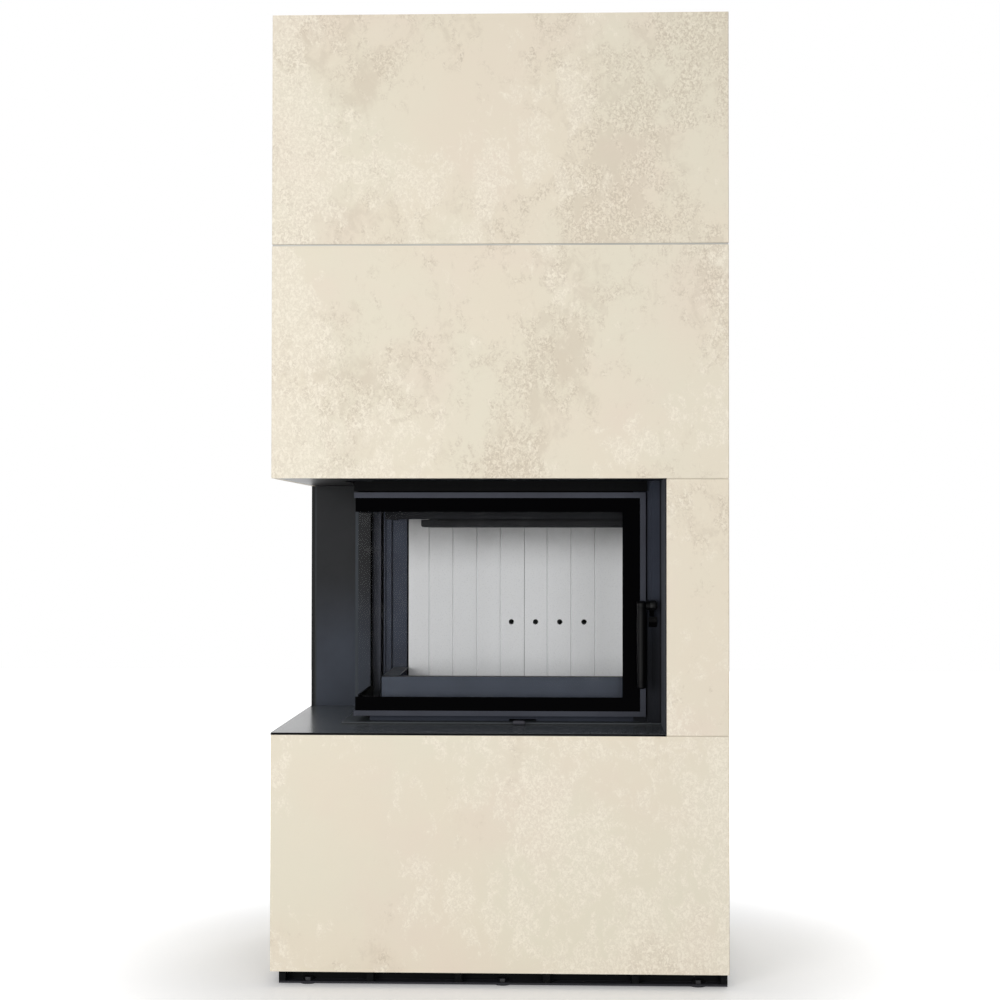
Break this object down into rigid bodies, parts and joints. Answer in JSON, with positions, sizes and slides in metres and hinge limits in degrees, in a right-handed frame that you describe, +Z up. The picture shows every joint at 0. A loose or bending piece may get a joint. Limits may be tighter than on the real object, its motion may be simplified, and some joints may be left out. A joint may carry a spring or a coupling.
{
  "type": "fireplace",
  "caption": "Tall slab-clad fireplace with a corner-glazed wood-burning insert in a niche open to the front and left, swinging corner door, latch handle and air slide",
  "frame": {"origin": "centre of the footprint, on the floor", "axes": "X to the right seen from the front, Y to the rear, Z up"},
  "size_m": [0.95, 0.67, 2.02],
  "materials": {
    "slab": "mottled stone-look slab",
    "lining": "pale fireproof board",
    "baffle": "sooty fireproof board",
    "glass": "clear heat-proof glass with a black border",
    "seal": "glass-fibre rope",
    "black_steel": "black paint",
    "bare_steel": "zinc-plated steel",
    "graphite_steel": "graphite paint"
  },
  "bodies": {
    "casing": {"air_box": "bare_steel", "air_guide": "graphite_steel", "baffle": "baffle", "firebox_rear_wall": "graphite_steel", "firebox_right_wall": "graphite_steel", "firebox_upper_walls": "graphite_steel", "floor_lining": "lining", "flue_pipe": "graphite_steel", "front_panel_lower": "slab", "front_panel_middle": "slab", "front_panel_strip": "slab", "front_panel_top": "slab", "hearth_tray": "graphite_steel", "hinge_pins": "bare_steel", "insert_base_plate": "graphite_steel", "insert_frame_bottom": "graphite_steel", "insert_frame_right": "graphite_steel", "insert_frame_top": "graphite_steel", "insert_stand": "black_steel", "latch_keeper": "bare_steel", "ledge": "graphite_steel", "left_panel_lower": "slab", "left_panel_middle": "slab", "left_panel_top": "slab", "levelling_feet": "bare_steel", "log_bar_front": "graphite_steel", "log_bar_left": "graphite_steel", "lower_frame": "black_steel", "middle_posts": "black_steel", "niche_corner_trim": "graphite_steel", "niche_rear_panel": "graphite_steel", "plinth_frame": "black_steel", "rear_left_post": "graphite_steel", "rear_lining_left": "lining", "rear_lining_right": "lining", "rear_sheet": "bare_steel", "right_jamb": "graphite_steel", "right_lining": "lining", "right_panel_lower": "slab", "right_panel_middle": "slab", "right_panel_strip": "slab", "right_panel_top": "slab", "smoke_hood": "graphite_steel", "soffit": "graphite_steel", "top_plate": "bare_steel", "top_plate_screws": "bare_steel", "upper_frame": "black_steel"},
    "door": {"door_bottom_rail": "graphite_steel", "door_top_rail": "graphite_steel", "door_right_stile": "graphite_steel", "door_rear_stile": "graphite_steel", "front_glass": "glass", "side_glass": "glass", "door_seal": "seal", "handle_bracket": "black_steel"},
    "handle": {"handle_shaft": "bare_steel", "handle_grip": "black_steel", "latch_cam": "black_steel"},
    "air_control": {"air_slide": "black_steel", "air_knob": "black_steel"}
  },
  "joints": [
    {"name": "door_hinge", "type": "hinge", "parent": "casing", "child": "door", "pos_m": [-0.312, 0.273, 0.784], "axis": [0, 0, -1], "range_deg": [0, 90]},
    {"name": "handle_pivot", "type": "hinge", "parent": "door", "child": "handle", "pos_m": [0.3, -0.157, 0.783], "axis": [-1, 0, 0], "range_deg": [0, 60]},
    {"name": "air_control_slide", "type": "slide", "parent": "casing", "child": "air_control", "axis": [1, 0, 0], "range_m": [-0.016, 0.029]}
  ]
}
